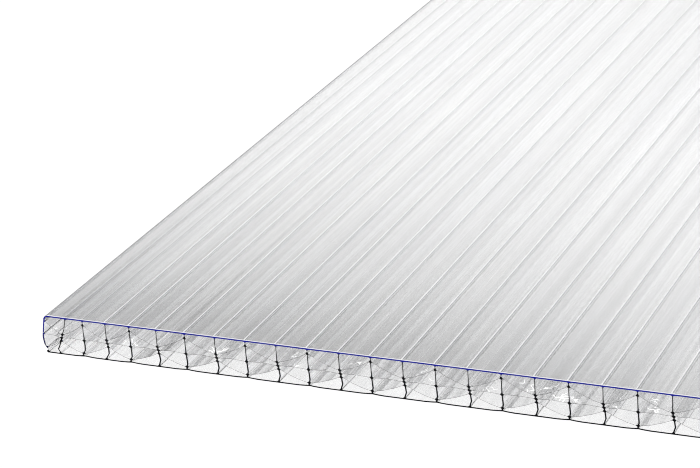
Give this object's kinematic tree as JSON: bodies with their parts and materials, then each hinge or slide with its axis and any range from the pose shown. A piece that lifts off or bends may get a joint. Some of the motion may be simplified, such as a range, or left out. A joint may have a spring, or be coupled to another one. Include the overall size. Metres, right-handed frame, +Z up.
{
  "type": "multiwall polycarbonate sheet",
  "caption": "Clear extruded hollow sheet: two skins joined by upright ribs, with a thin middle wall and crossing webs in its long channels, for roof and wall glazing.",
  "frame": {"origin": "centre of the sheet's underside", "axes": "+Z up through the thickness, from the underside to the top skin; +Y along the hollow channels; +X across the ribs"},
  "size_m": [1.2, 2, 0.025],
  "materials": {
    "clear_polycarbonate": "clear, extruded"
  },
  "bodies": {
    "root": {"multiwall_sheet": "clear_polycarbonate"}
  },
  "joints": []
}
